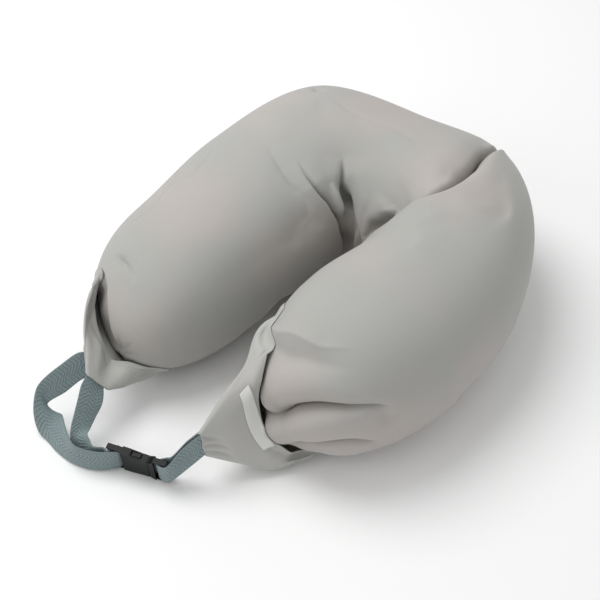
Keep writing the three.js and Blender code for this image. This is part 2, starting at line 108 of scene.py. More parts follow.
# Folds of the cushion's cloth, each a path of x, y, z, strength over the plain tube. depth is how far
# the cloth is drawn in (less than 0 for a ridge) and width how wide; sharp is 1 for a crease and 2 for
# a soft hollow, and soft draws the cloth beside it in too. pinch gathers the cloth sideways into the
# fold. The cloth on the path's left turns down within steep times the width, lap lays it over the fold
# by so much and lip raises its edge. held is how firmly the fold stays down while the filling settles,
# and fine folds get a finer mesh.
FOLD_DEFAULTS = dict(sharp=2.0, soft=0.0, pinch=0.0, lip=0.0, lap=0.0, steep=1.0, held=0.0, fine=False)
TUCK = dict(sharp=1.3, pinch=0.4, fine=True)
SEAM = dict(sharp=1.6, pinch=0.3, fine=True)
FOLDS = [
    dict(name="right end, upper crease", depth=25, width=5.5, sharp=1.15, soft=2, pinch=0.5, steep=1.7,
         held=1, fine=True, path=[
        (48, -154, 54, 0.8), (55, -157, 57, 0.9), (62, -159, 64, 1), (71, -161, 75, 1),
        (82, -161, 86, 1), (92, -158, 93, 0.95), (104, -153, 99, 0.85), (115, -149, 102, 0.7),
        (129, -140, 103, 0.5), (144, -126, 103, 0.25), (156, -109, 99, 0)]),
    dict(name="right end, lower crease", depth=17, width=6.5, sharp=1.15, soft=1, pinch=0.5, steep=1.2,
         held=1, fine=True, path=[
        (80, -153, 29, 1.2), (92, -155, 37, 1.1), (105, -154, 45, 1), (121, -149, 56, 0.9),
        (133, -141, 59, 0.8), (141, -133, 58, 0.5), (150, -120, 54, 0)]),
    dict(name="right end, hollow under the ridge", depth=7, width=11, sharp=1.5, path=[
        (34, -122, 119, 0.4), (44, -129, 123, 0.9), (57, -134, 128, 1), (74, -133, 134, 0.9),
        (91, -131, 137, 0.6), (114, -124, 139, 0.1)]),
    dict(name="right end, ridge", depth=-5, width=6, sharp=1.1, fine=True, path=[
        (24, -108, 121, 0.6), (39, -116, 130, 0.9), (56, -119, 142, 1), (67, -120, 145, 1),
        (78, -121, 146, 0.9), (87, -121, 147, 0.6), (99, -116, 149, 0.3), (114, -109, 151, 0)]),
    dict(name="right end, fullness at the mouth", depth=-13, width=14, path=[
        (40, -146, 86, 0.1), (45, -152, 72, 0.35), (52, -156, 55, 0.8), (60, -157, 42, 1),
        (72, -154, 28, 1), (88, -146, 16, 0.6)]),
    dict(name="left end, drawn in behind the hood", depth=13, width=7, sharp=1.3, soft=1, steep=4,
         held=0.6, fine=True, path=[
        (-107, -163, 44, 0.3), (-113, -165, 52, 0.8), (-118, -165, 62, 1), (-122, -164, 74, 1),
        (-126, -161, 84, 1), (-132, -154, 95, 1), (-136, -147, 104, 0.8), (-139, -140, 109, 0.4),
        (-140, -132, 114, 0)]),
    dict(name="left end, first tuck", depth=4, width=4, **TUCK, path=[
        (-107, -165, 52, 0.6), (-102, -166, 63, 1), (-98, -165, 80, 0)]),
    dict(name="left end, second tuck", depth=3, width=4, **TUCK, path=[
        (-102, -165, 54, 0.6), (-94, -167, 64, 0.9), (-84, -164, 78, 0)]),
    dict(name="left end, third tuck", depth=3, width=4, **TUCK, path=[
        (-99, -164, 50, 0.6), (-90, -166, 57, 0.9), (-78, -163, 63, 0)]),
    dict(name="left arm, first wrinkle", depth=2, width=3.5, sharp=1.3, pinch=0.3, fine=True, path=[
        (-133, -119, 128, 0), (-128, -123, 129, 1), (-120, -127, 129, 0.8), (-113, -131, 128, 0)]),
    dict(name="left arm, second wrinkle", depth=3, width=4, sharp=1.3, pinch=0.3, fine=True, path=[
        (-126, -119, 131, 0), (-121, -124, 131, 1), (-111, -128, 130, 1), (-103, -134, 127, 0.4),
        (-100, -140, 123, 0)]),
    dict(name="left arm, seam", depth=1.1, width=2.6, **SEAM, path=[
        (-127, 24, 152, 0.3), (-123, -2, 153, 0.8), (-122, -18, 152, 1), (-129, -25, 149, 0.8),
        (-135, -31, 145, 1), (-134, -53, 145, 1), (-131, -72, 144, 0.9), (-135, -80, 142, 1),
        (-141, -90, 137, 0.4)]),
    dict(name="inner bend, long crease", depth=19, width=5, sharp=1.15, pinch=0.4, lip=1.5, lap=2,
         steep=0.45, held=1, fine=True, path=[
        (-6, 62, 40, 1), (-6, 60, 60, 1), (-6, 54, 81, 1), (-7, 51, 97, 0.95), (-10, 47, 111, 0.8),
        (-14, 45, 121, 0.65), (-20, 42, 130, 0.5), (-27, 41, 139, 0.35), (-35, 42, 147, 0.2),
        (-50, 48, 156, 0)]),
    dict(name="inner bend, short crease", depth=21, width=5.5, sharp=1.15, pinch=0.4, lip=1.5, lap=2,
         steep=0.5, held=1, fine=True, path=[
        (-24, 84, 146, 0), (-18, 75, 138, 0.25), (-13, 69, 129, 0.5), (-10, 67, 121, 0.7),
        (-6, 66, 111, 0.85), (-3, 65, 103, 1), (2, 63, 97, 1), (11, 58, 83, 1), (14, 58, 65, 1),
        (14, 60, 45, 1)]),
    dict(name="inner bend, roll between the creases", depth=-10, width=6, sharp=1.8, fine=True, path=[
        (4, 61, 45, 0.5), (4, 60, 65, 0.6), (3, 57, 82, 0.8), (-2, 57, 97, 1), (-7, 56, 108, 1),
        (-12, 56, 120, 0.6), (-20, 58, 134, 0)]),
    dict(name="inner bend, faint crease", depth=3, width=6, sharp=1.3, pinch=0.3, lap=1, fine=True,
         path=[
        (-18, 22, 112, 0.4), (-26, 27, 131, 0.8), (-39, 26, 146, 1), (-48, 28, 152, 0.9),
        (-57, 31, 156, 0.7), (-68, 36, 159, 0.4), (-88, 46, 161, 0)]),
    dict(name="inner bend, soft hollow", depth=4, width=20, path=[
        (-112, 58, 157, 0.1), (-78, 40, 159, 0.3), (-53, 29, 153, 0.6), (-37, 27, 139, 0.8),
        (-24, 20, 112, 1)]),
    dict(name="right bend, deep fold", depth=32, width=7, sharp=2, soft=3, pinch=0.2, lip=1.5, lap=4,
         steep=0.8, held=1, fine=True, path=[
        (82, 196, 124, 0), (86, 186, 140, 0.3), (86, 168, 152, 0.8), (89, 138, 160, 1),
        (87, 116, 162, 1), (86, 100, 163, 0.7), (81, 85, 162, 0.35), (72, 74, 158, 0)]),
    dict(name="right bend, the back runs down", depth=8, width=15, path=[
        (74, 190, 138, 0.2), (77, 168, 152, 0.8), (79, 138, 160, 1), (76, 116, 162, 0.9),
        (74, 100, 163, 0.4)]),
    dict(name="right bend, thin valley", depth=6, width=4, sharp=1.3, soft=1, pinch=0.3, lap=1,
         steep=0.5, held=0.5, fine=True, path=[
        (86, 100, 163, 0.1), (81, 85, 162, 0.5), (75, 76, 160, 0.8), (66, 70, 152, 0.7),
        (50, 69, 133, 0)]),
    dict(name="right bend, inner pinch", depth=20, width=6, sharp=1.6, held=1, fine=True, path=[
        (43, 65, 123, 0), (37, 61, 112, 0.8), (34, 58, 105, 1), (28, 56, 99, 1), (22, 54, 88, 0.2)]),
    dict(name="right arm, soft hollow", depth=3, width=20, path=[
        (47, 60, 128, 0.4), (82, 68, 160, 0.5), (112, 92, 161, 0.3), (150, 96, 138, 0)]),
    dict(name="right arm, first soft ridge", depth=-1.6, width=7, path=[
        (66, 20, 155, 0), (73, 27, 158, 0.8), (83, 39, 161, 1), (90, 50, 162, 1), (100, 58, 163, 0.8),
        (116, 66, 161, 0)]),
    dict(name="right arm, second soft ridge", depth=-1.6, width=7, path=[
        (90, 82, 163, 0), (100, 83, 163, 1), (110, 84, 162, 1), (119, 87, 160, 0.8),
        (131, 108, 153, 0)]),
    dict(name="back, first pinch", depth=4, width=4, **TUCK, path=[
        (-99, 145, 153, 0.2), (-94, 140, 157, 1), (-90, 136, 159, 0.8), (-84, 131, 161, 0)]),
    dict(name="back, second pinch", depth=3, width=3.5, **TUCK, path=[
        (-91, 143, 157, 0.2), (-86, 139, 159, 1), (-80, 135, 161, 0)]),
    dict(name="back, seam", depth=0.9, width=2.6, **SEAM, path=[
        (-72, 131, 163, 0), (-46, 126, 162, 1), (-30, 126, 160, 0.8), (-13, 128, 158, 1),
        (3, 132, 157, 0.9), (17, 130, 157, 1), (33, 126, 158, 0)]),
]

HELD_FOLDS = [fold for fold in FOLDS if fold.get("held")]

# Rings of the two hoods, from inside the cushion's end over the mouth to the tip. Columns go round a
# ring: top, brow, face, cheek, jaw, foot, heel, low back, back, top of the back.
RIGHT_HOOD = [
    [(31, -92, 127), (56, -112, 118), (60, -124, 96), (60, -128, 68), (74, -134, 40),
     (100, -126, 16), (74, -108, 3), (42, -92, 24), (32, -80, 62), (28, -78, 106)],
    [(18, -114, 113), (40, -132, 119), (45, -147, 98), (44, -152, 70), (56, -157, 40),
     (86, -149, 14), (66, -132, 2), (28, -118, 20), (15, -108, 58), (13, -107, 97)],
    [(25, -146, 99), (32, -150, 99), (38, -162, 85), (40, -168, 64), (49, -172, 40),
     (69, -168, 7), (54, -157, 2), (30, -148, 16), (19, -142, 46), (21, -141, 81)],
    [(21, -178, 82), (25, -180, 82), (30, -183, 73), (34, -186, 57), (40, -188, 40),
     (47, -186, 20), (42, -180, 14), (29, -175, 22), (18, -174, 44), (17, -174, 67)],
    [(18, -205, 62), (20, -205, 62), (22, -205, 56), (23, -206, 47), (24, -205, 38),
     (24, -204, 33), (21, -203, 32), (17, -202, 37), (16, -202, 47), (15, -203, 57)],
]
LEFT_HOOD = [
    [(-143, -96, 104), (-132, -108, 100), (-124, -122, 82), (-110, -136, 64), (-92, -142, 48),
     (-66, -130, 40), (-74, -112, 14), (-112, -96, 3), (-146, -90, 24), (-158, -86, 66)],
    [(-149, -124, 108), (-144, -133, 103), (-140, -150, 82), (-126, -165, 63), (-105, -171, 49),
     (-71, -155, 40), (-77, -138, 17), (-114, -124, 5), (-154, -116, 26), (-168, -115, 66)],
    [(-145, -152, 93), (-141, -157, 91), (-132, -170, 78), (-117, -178, 64), (-100, -180, 50),
     (-79, -170, 36), (-83, -152, 18), (-108, -142, 13), (-136, -140, 32), (-150, -144, 62)],
    [(-131, -178, 82), (-127, -181, 82), (-117, -187, 75), (-107, -191, 65), (-97, -192, 52),
     (-85, -187, 40), (-86, -178, 32), (-98, -172, 34), (-116, -170, 46), (-130, -172, 64)],
    [(-101, -212, 70), (-98, -212, 69), (-95, -210, 65), (-92, -208, 60), (-89, -205, 54),
     (-86, -202, 48), (-90, -201, 45), (-96, -202, 48), (-101, -205, 56), (-104, -209, 65)],
]
HOOD_AROUND = 220
HOOD_ALONG = 84
HOOD_CROWDING = 1.15
HOOD_THICK = 1.2
HOOD_CLEAR = 0.45

# Where a hood lies on the cushion, its edge tapers to HOOD_EDGE over EDGE_TAPER, and its cloth is drawn
# to the cushion within about HUG_REACH. It is cleared of the cushion in so many steps, each of at most
# LIFT_STEP out and HUG_STEP in. UNDER_SHARE of the way to the tip is searched for the cushion.
HOOD_EDGE = 0.4
EDGE_TAPER = 4
HUG_REACH = 9
HUG_STEP = 3
LIFT_STEP = 4
CLEAR_STEPS = 5
UNDER_SHARE = 0.7
FLUSH_BLUR = 3
HOOD_FLOOR_GAP = 0.3
LINING_FLOOR_GAP = 0.1

# A hem stands a little proud, and its stitches draw it down near its inner edge.
HEM_WIDE = 7
HEM_BLEND = 0.5
HEM_RAISE = 0.7
STITCH_INSET = 1.6
STITCH_WIDE = 0.8

# Each hood's mouth stands open over some of its way round, where it lies so far along the skin. The
# rest of it lies on the cushion: snug moves it so far to the tip, up to a place round the hood and
# fading in over a share of its way round.
RIGHT_MOUTH = dict(open=(0.085, 0.5), blend=0.03, along=0.25, snug=(0.12, 1.03, 0.04), hem=0)
LEFT_MOUTH = dict(open=(0.03, 0.52), blend=0.05, along=0.25, snug=(0.12, 1, 0.15), hem=1)
RIGHT_HOOD_FOLDS = [
    dict(name="first wrinkle at the tip", depth=3, width=3, sharp=1.4, path=[
        (22, -204, 58, 0.6), (29, -197, 52, 1), (38, -189, 50, 0)]),
    dict(name="second wrinkle at the tip", depth=3.5, width=3, sharp=1.4, path=[
        (24, -204, 47, 0.6), (31, -196, 44, 1), (42, -188, 38, 0)]),
    dict(name="third wrinkle at the tip", depth=3, width=3, sharp=1.4, path=[
        (25, -204, 39, 0.6), (34, -196, 35, 1), (46, -188, 28, 0)]),
    dict(name="hollow at the lower corner", depth=4, width=6, sharp=1.5, path=[
        (64, -163, 28, 0.2), (70, -160, 23, 1), (78, -155, 20, 1), (86, -148, 18, 0.5)]),
    dict(name="fold at the top", depth=1.5, width=5, sharp=1.5, path=[
        (40, -131, 118, 0.2), (31, -138, 110, 1), (29, -151, 98, 0.8), (28, -167, 88, 0)]),
]
LEFT_HOOD_FOLDS = [
    dict(name="seam", depth=1.5, width=2.4, sharp=1.3, path=[
        (-145, -128, 106, 0.6), (-142, -139, 95, 1), (-140, -147, 84, 1), (-138, -156, 78, 1),
        (-134, -165, 77, 1), (-125, -180, 79, 1), (-118, -191, 77, 0.9), (-107, -204, 73, 0.5)]),
    dict(name="valley below the pinch", depth=5, width=7, sharp=1.3, path=[
        (-111, -162, 50, 1), (-106, -170, 50, 1), (-101, -182, 52, 0.7), (-98, -191, 55, 0)]),
    dict(name="fullness right of the valley", depth=-4, width=9, path=[
        (-84, -160, 44, 0.6), (-90, -170, 44, 1), (-89, -182, 44, 1), (-88, -196, 48, 0.4)]),
    dict(name="fullness left of the valley", depth=-3, width=8, path=[
        (-126, -160, 70, 0.5), (-118, -172, 64, 1), (-108, -188, 62, 0.8), (-100, -202, 62, 0.2)]),
]

STRAP_WIDE = 25
STRAP_THICK = 1.5
SELVEDGE_ROUND = 2 * (STRAP_WIDE + STRAP_THICK)

# How far it is round the other pieces, for their maps, near enough.
CUSHION_ROUND = 505
HOOD_ROUND = 330
LABEL_ROUND = 32

# The buckle stands on its long edge. In its own axes, along is measured from its left end, up from
# its lower edge and side across its thickness.
BUCKLE_PLACE = dict(x=-59, y=-237, z=1.2, turn=13, lean=8)
BUCKLE_HIGH = 28.8
BAR_REACH = math.hypot(2.6, 2.6) / 2 + STRAP_THICK / 2 + 0.5
LEFT_BAR = 9
RIGHT_BAR = 51

# Colours as a screen shows them, and threads in metres.
TUBE_COOL = (172, 172, 168)
TUBE_WARM = (181, 175, 171)
# The hoods are the tube's own cloth with its colours painted lighter: painted light that offsets the shade
# on the hoods.
HOOD_COOL_PAINTED_LIGHTER = (181, 181, 177)
HOOD_WARM_PAINTED_LIGHTER = (186, 183, 179)
TAPE_COOL = (215, 217, 214)
TAPE_WARM = (226, 227, 224)
WEBBING_DARK = (66, 82, 86)
WEBBING_LIGHT = (155, 171, 172)
BUCKLE_BLACK = (9, 12, 14)
CLOTH_THREAD = 0.0008
HERRINGBONE_WIDE = 0.0062
TAPE_THREAD = 0.0006

# Light in the row frame: place, width, power. Both look at LIGHT_TARGET.
KEY = dict(place=(-0.7, 0, 1.7), size=1.2, power=18)
FILL = dict(place=(-0.9, -1.5, 1.2), size=1.3, power=5)
LIGHT_TARGET = (0, 0, 0.08)
WORLD_LIGHT = 0.6
FLOOR_HALF = 4.0
FLOOR_DROP = 0.0002

# The photo's view, in the drawing axes.
VIEW = dict(azimuth=35, elevation=47, roll=-0.6, distance=1450, lens=93.48)
VIEW_TARGET = (0, -25, 60)


def drawing_shift():
    """Where the drawing axes lie in the row frame, from the cushion's node."""
    low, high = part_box("cushion")
    grid, _ = tube_grid()
    middle = (grid.min(axis=(0, 1)) + grid.max(axis=(0, 1))) / 2
    return np.array([(low[0] + high[0]) / 2 / MM - middle[0], (low[1] + high[1]) / 2 / MM - middle[1], 0.0])


def to_frame(points):
    return (np.asarray(points, float) + SHIFT) * MM


def curve_through(values, places, at):
    """Cubic through rows of values, each at its own distance along the curve."""
    values, places = np.asarray(values, float), np.asarray(places, float)
    last = len(places) - 1
    before = np.maximum(np.arange(last + 1) - 1, 0)
    after = np.minimum(np.arange(last + 1) + 1, last)
    slope = (values[after] - values[before]) / (places[after] - places[before])[:, None]
    i = np.clip(np.searchsorted(places, at, side="left") - 1, 0, last - 1)
    span = (places[i + 1] - places[i])[:, None]
    s = (at - places[i])[:, None] / span
    rise = values[i + 1] - values[i]
    start, end = slope[i] * span, slope[i + 1] * span
    return values[i] + s * (start + s * (3 * rise - 2 * start - end + s * (start + end - 2 * rise)))


def catmull(points, at, closed):
    """Centripetal Catmull-Rom curve through points (n, ..., 3) at shares of its length in rows."""
    points = np.asarray(points, float)
    n = len(points)
    at = np.asarray(at, float)
    place = at * (n if closed else n - 1)
    i = np.floor(place).astype(int)
    if not closed:
        i = np.clip(i, 0, n - 2)
        first, last = 2 * points[0] - points[1], 2 * points[-1] - points[-2]
        points = np.concatenate([first[None], points, last[None]])
        picks = [i, i + 1, i + 2, i + 3]
    else:
        picks = [(i - 1) % n, i % n, (i + 1) % n, (i + 2) % n]
    t = (place - i)[..., None]
    if points.ndim == 2:
        p0, p1, p2, p3 = (points[k] for k in picks)
    else:
        column = np.arange(points.shape[1])
        p0, p1, p2, p3 = (points[k, column] for k in picks)
    d0, d1, d2 = (np.maximum(np.sqrt(np.linalg.norm(b - a, axis=-1, keepdims=True)), 1e-4)
                  for a, b in ((p0, p1), (p1, p2), (p2, p3)))
    t1 = ((p1 - p0) / d0 - (p2 - p0) / (d0 + d1) + (p2 - p1) / d1) * d1
    t2 = ((p2 - p1) / d1 - (p3 - p1) / (d1 + d2) + (p3 - p2) / d2) * d1
    return p1 + t * (t1 + t * (3 * (p2 - p1) - 2 * t1 - t2 + t * (2 * (p1 - p2) + t1 + t2)))


def grid_normals(grid):
    """Outward normals of a grid of rings (along, around, 3)."""
    along = np.gradient(grid, axis=0)
    around = np.roll(grid, -1, axis=1) - np.roll(grid, 1, axis=1)
    normal = np.cross(around, along)
    normal /= np.maximum(np.linalg.norm(normal, axis=2, keepdims=True), 1e-9)
    middle = grid.mean(axis=1, keepdims=True)
    if ((grid - middle) * normal).sum() < 0:
        normal = -normal
    return normal


def tube_grid(end_rings=END_RINGS, middle_rings=MIDDLE_RINGS, points_around=POINTS_AROUND):
    """Plain grid of the tube (rings, around, 3), and the unit directions that point out of it."""
    rows = np.array(SECTIONS, float)
    places = np.concatenate([[0], np.cumsum(np.hypot(*np.diff(rows[:, :2], axis=0).T))])
    long = places[-1]
    turn = np.arange(1, end_rings + 1) / end_rings * math.pi / 2
    end_full = np.sin(turn) ** (2 / END_SQUARENESS)
    end_place = END_LENGTH * (1 - np.maximum(np.cos(turn), 0) ** (2 / END_SQUARENESS))
    middle = END_LENGTH + (long - 2 * END_LENGTH) * np.arange(1, middle_rings) / middle_rings
    at = np.concatenate([end_place, middle, long - end_place[::-1]])
    full = np.concatenate([end_full, np.ones(len(middle)), end_full[::-1]])[:, None]
    x, y, out, half, top = (c[:, None] for c in curve_through(rows, places, at).T)
    out = np.radians(out)
    turn = np.arange(points_around) / points_around * 2 * math.pi
    bend = lambda v: np.sign(v) * np.abs(v) ** (2 / SQUARENESS)
    tall = (top + SINK) / 2
    across = half * full * bend(np.cos(turn))[None]
    z = tall - SINK + tall * full * bend(np.sin(turn))[None]
    grid = np.stack([x + across * np.cos(out), y + across * np.sin(out), np.maximum(z, 0)], axis=2)
    return grid, grid_normals(grid)


def near_path(points, path):
    """Offset of points from a path of x, y, z, strength, the path's direction and its strength there."""
    away = np.full(len(points), np.inf)
    offset, direction = np.zeros_like(points), np.zeros_like(points)
    strength = np.zeros(len(points))
    for a, b in zip(path[:-1], path[1:]):
        leg = b[:3] - a[:3]
        t = np.clip((points - a[:3]) @ leg / max(leg @ leg, 1e-9), 0, 1)
        gap = points - a[:3] - t[:, None] * leg
        d = np.linalg.norm(gap, axis=1)
        nearer = d < away
        away[nearer] = d[nearer]
        offset[nearer] = gap[nearer]
        direction[nearer] = leg / np.linalg.norm(leg)
        strength[nearer] = (a[3] + t * (b[3] - a[3]))[nearer]
    return away, offset, direction, strength


def fold_path(fold):
    path = np.array(fold["path"], float)
    return catmull(path, np.linspace(0, 1, 6 * (len(path) - 1) + 1), closed=False)


def near_fold(points, fold, reach):
    """Numbers of the points near a fold, and what near_path says of them."""
    path = fold_path(fold)
    low, high = path[:, :3].min(axis=0) - reach, path[:, :3].max(axis=0) + reach
    close = np.flatnonzero(((points > low) & (points < high)).all(axis=1))
    return close, *near_path(points[close], path)


def fold_moves(points, normals, folds, share=1.0, sideways=True, least_width=0):
    """How folds move points of a plain skin, and how firmly each point is held down in a crease."""
    moves, held = np.zeros_like(points), np.zeros(len(points))
    for fold in folds:
        fold = FOLD_DEFAULTS | fold
        width = max(fold["width"], least_width)
        reach = 4 * width * max(1, fold["steep"])
        close, away, offset, direction, strength = near_fold(points, fold, reach)
        left = np.cross(normals[close], direction)
        left /= np.maximum(np.linalg.norm(left, axis=1, keepdims=True), 1e-9)
        across = (offset * left).sum(axis=1)
        strength = np.maximum(strength, 0)
        on_left = 0.5 + 0.5 * np.tanh(across / (0.1 * width))
        far = away / (width * (1 + (fold["steep"] - 1) * on_left) * (0.4 + 0.6 * np.minimum(strength, 1)))
        down = fold["depth"] * np.exp(-far ** fold["sharp"])
        down += fold["soft"] * np.exp(-(away / (2.5 * width)) ** 2)
        down -= fold["lip"] * on_left * np.exp(-((away / width - 0.9) / 0.45) ** 2)
        moves[close] -= normals[close] * (share * strength * down)[:, None]
        if sideways:
            gather = -fold["pinch"] * across * np.exp(-(away / (1.2 * width)) ** 2)
            turned = np.clip(across / (fold["steep"] * width), 0, 1)
            lapped = fold["lap"] * turned * turned * (3 - 2 * turned) * np.exp(-(away / (1.9 * width)) ** 2)
            moves[close] += left * (strength * (gather - lapped))[:, None]
        held[close] = np.maximum(held[close], fold["held"] * strength * np.exp(-(away / HOLD_WIDTH) ** 2))
    return moves, held


def grid_rows(grid, place, closed):
    """Smooth rows of a grid at whole and part row numbers."""
    n = len(grid)
    i = np.floor(place).astype(int)
    if not closed:
        i = np.clip(i, 0, n - 2)
    t = (place - i)[:, None, None]
    picks = [(i + k) % n if closed else np.clip(i + k, 0, n - 1) for k in (-1, 0, 1, 2)]
    a, b, c, d = (grid[k] for k in picks)
    return b + 0.5 * t * (c - a + t * (2 * a - 5 * b + 4 * c - d + t * (3 * (b - c) + d - a)))


def near_fold_share(points):
    """1 on a deep fold and 0 well away from one."""
    share = np.zeros(len(points))
    for fold in HELD_FOLDS:
        close, away, _, _, strength = near_fold(points, fold, 2.5 * CALM_REACH)
        here = np.exp(-(away / CALM_REACH) ** 2) * np.clip(3 * strength, 0, 1)
        share[close] = np.maximum(share[close], here)
    return share


def ring_steps(end_rings, middle_rings):
    """Steps along the tube's rings, 1 from an end to its middle part and 8 over the middle part."""
    end = np.arange(1, end_rings + 1) / end_rings
    return np.concatenate([end, 1 + 8 * np.arange(1, middle_rings) / middle_rings, 10 - end[::-1]])


def settled():
    """The folded cloth as simulation leaves it: blown up by its filling, and held in the creases."""
    coarse, out = tube_grid(*SIM_RINGS)
    flat = coarse.reshape(-1, 3)
    moves, held = fold_moves(flat, out.reshape(-1, 3), HELD_FOLDS, SIM_FOLD_SHARE, False, SIM_LEAST_WIDTH)
    held[flat[:, 2] < FLOOR_REACH] = 1
    held = held.reshape(coarse.shape[:2])
    start = coarse + moves.reshape(coarse.shape) - out * (SIM_SHRINK * (1 - held))[..., None]
    on_floor = coarse[..., 2] < FLOOR_REACH
    start[..., 2] = np.where(on_floor, 0, np.maximum(start[..., 2], FLOOR_CLEAR))
    trial = loft("cloth_trial", start, CUSHION_ROUND)
    group = trial.vertex_groups.new(name="held")
    for i, weight in enumerate(held.ravel()):
        if weight > LEAST_HOLD:
            group.add([i], float(min(weight, 1)), "REPLACE")
    cloth = trial.modifiers.new("cloth", "CLOTH")
    cloth.settings.quality = SIM_QUALITY
    cloth.settings.tension_stiffness = cloth.settings.compression_stiffness = SIM_STIFFNESS
    cloth.settings.bending_stiffness = SIM_BENDING
    cloth.settings.use_pressure = True
    cloth.settings.uniform_pressure_force = SIM_PRESSURE
    cloth.settings.vertex_group_mass = "held"
    cloth.settings.shrink_min = -SIM_SLACK
    cloth.settings.air_damping = SIM_DAMPING
    cloth.settings.effector_weights.gravity = 0
    cloth.collision_settings.use_collision = False
    cloth.point_cache.frame_start = 1
    cloth.point_cache.frame_end = SIM_FRAMES
    for number in range(1, SIM_FRAMES + 1):
        bpy.context.scene.frame_set(number)
    after = trial.evaluated_get(bpy.context.evaluated_depsgraph_get())
    place = np.zeros(3 * len(after.data.vertices), np.float32)
    after.data.vertices.foreach_get("co", place)
    end = (place.reshape(-1, 3)[:held.size] / MM - SHIFT).reshape(coarse.shape)
    bpy.data.objects.remove(trial)
    moved = end - (coarse + moves.reshape(coarse.shape))
    length = np.linalg.norm(moved, axis=2, keepdims=True)
    calm = 1 - near_fold_share(flat).reshape(held.shape)
    moved *= np.minimum(1, SIM_CAP / np.maximum(length, 1e-6)) * calm[..., None]
    for k in range(POLE_RINGS):
        for ring, edge in ((k, POLE_RINGS), (-1 - k, -1 - POLE_RINGS)):
            middle = moved[edge].mean(axis=0)
            moved[ring] = middle + (moved[ring] - middle) * (k / POLE_RINGS) ** 2
    steps = ring_steps(*SIM_RINGS[:2])
    fine_steps = ring_steps(END_RINGS, MIDDLE_RINGS)
    moved = grid_rows(moved, np.interp(fine_steps, steps, np.arange(len(steps))), False)
    around = np.arange(POINTS_AROUND) / POINTS_AROUND * SIM_RINGS[2]
    return np.moveaxis(grid_rows(np.moveaxis(moved, 1, 0), around, True), 0, 1)


def finer(piece, near):
    """Cuts the faces that have a near corner into smaller ones."""
    shape = bmesh.new()
    shape.from_mesh(piece.data)
    shape.verts.ensure_lookup_table()
    faces = {face for vert in shape.verts if near[vert.index] for face in vert.link_faces}
    edges = sorted({edge for face in faces for edge in face.edges}, key=lambda edge: edge.index)
    bmesh.ops.subdivide_edges(shape, edges=edges, cuts=FINE_CUTS, use_grid_fill=True)
    shape.to_mesh(piece.data)
    shape.free()


def near_fine_fold(points):
    near = np.zeros(len(points), bool)
    for fold in FOLDS:
        if fold.get("fine"):
            close, away, _, _, strength = near_fold(points, fold, FINE_REACH)
            near[close] |= (away < FINE_REACH) & (strength > 0.05)
    return near


def point_values(mesh, name):
    values = np.zeros(3 * len(mesh.vertices), np.float32)
    mesh.attributes[name].data.foreach_get("vector", values)
    return values.reshape(-1, 3).astype(float)


def flat_map_at_ends(mesh, plain, out):
    """Maps the tube's two ends straight on, where its rings would turn the threads into circles."""
    corners = np.zeros(len(mesh.loops), np.int32)
    mesh.loops.foreach_get("vertex_index", corners)
    sizes = np.zeros(len(mesh.polygons), np.int32)
    mesh.polygons.foreach_get("loop_total", sizes)
    face_of = np.repeat(np.arange(len(sizes)), sizes)
    uv = np.zeros(2 * len(corners), np.float32)
    mesh.uv_layers[0].data.foreach_get("uv", uv)
    uv = uv.reshape(-1, 2)
    for side in (0, -1):
        here = np.array(SECTIONS[side][:2], float)
        inward = np.array(SECTIONS[1 if side == 0 else -2][:2], float)
        axis = (here - inward) / np.linalg.norm(here - inward)
        facing = out[:, 0] * axis[0] + out[:, 1] * axis[1]
        near_end = (plain[:, :2] - here) @ axis > -END_LENGTH
        on_end = np.bincount(face_of, (facing * near_end)[corners]) / sizes > END_FACING
        use = on_end[face_of]
        across = plain[:, 0] * axis[1] - plain[:, 1] * axis[0]
        uv[use] = np.stack([across, plain[:, 2]], axis=1)[corners][use] * MM
    mesh.uv_layers[0].data.foreach_set("uv", uv.ravel())


def make_cushion():
    grid, normals = tube_grid()
    piece = loft("cushion_cloth", grid, CUSHION_ROUND)
    mesh = piece.data
    ends = [grid[0].mean(axis=0), grid[-1].mean(axis=0)]
    end_out = [normals[0].mean(axis=0), normals[-1].mean(axis=0)]
    settle = settled()
    still = [np.zeros(3), np.zeros(3)]
    for name, field, last in (("plain", grid, ends), ("out", normals, end_out), ("settle", settle, still)):
        layer = mesh.attributes.new(name, "FLOAT_VECTOR", "POINT")
        values = np.concatenate([field.reshape(-1, 3), last]).astype(np.float32)
        layer.data.foreach_set("vector", values.ravel())
    finer(piece, near_fine_fold(point_values(mesh, "plain")))
    mesh = piece.data
    plain, out, settle = (point_values(mesh, name) for name in ("plain", "out", "settle"))
    out /= np.maximum(np.linalg.norm(out, axis=1, keepdims=True), 1e-9)
    moves, _ = fold_moves(plain, out, FOLDS)
    place = plain + moves + settle
    place[:, 2] = np.where(plain[:, 2] <= 0, 0, np.maximum(place[:, 2], 0))
    mesh.vertices.foreach_set("co", to_frame(place).astype(np.float32).ravel())
    flat_map_at_ends(mesh, plain, out)
    for name in ("plain", "out", "settle"):
        mesh.attributes.remove(mesh.attributes[name])
    mesh.update()
    return piece


def grid_faces(rings, around, wrap_rings):
    """Quads of a grid, as point numbers and as (ring, place) pairs that run on over the seam."""
    i = np.arange(rings if wrap_rings else rings - 1)[:, None]
    j = np.arange(around)[None]
    corners = [(i, j), (i, j + 1), (i + 1, j + 1), (i + 1, j)]
    corners = [tuple(np.broadcast_arrays(a, b)) for a, b in corners]
    number = np.stack([(a % rings) * around + b % around for a, b in corners], axis=-1).reshape(-1, 4)
    pair = np.stack([np.stack([a, b], axis=-1) for a, b in corners], axis=2).reshape(-1, 4, 2)
    return number, pair


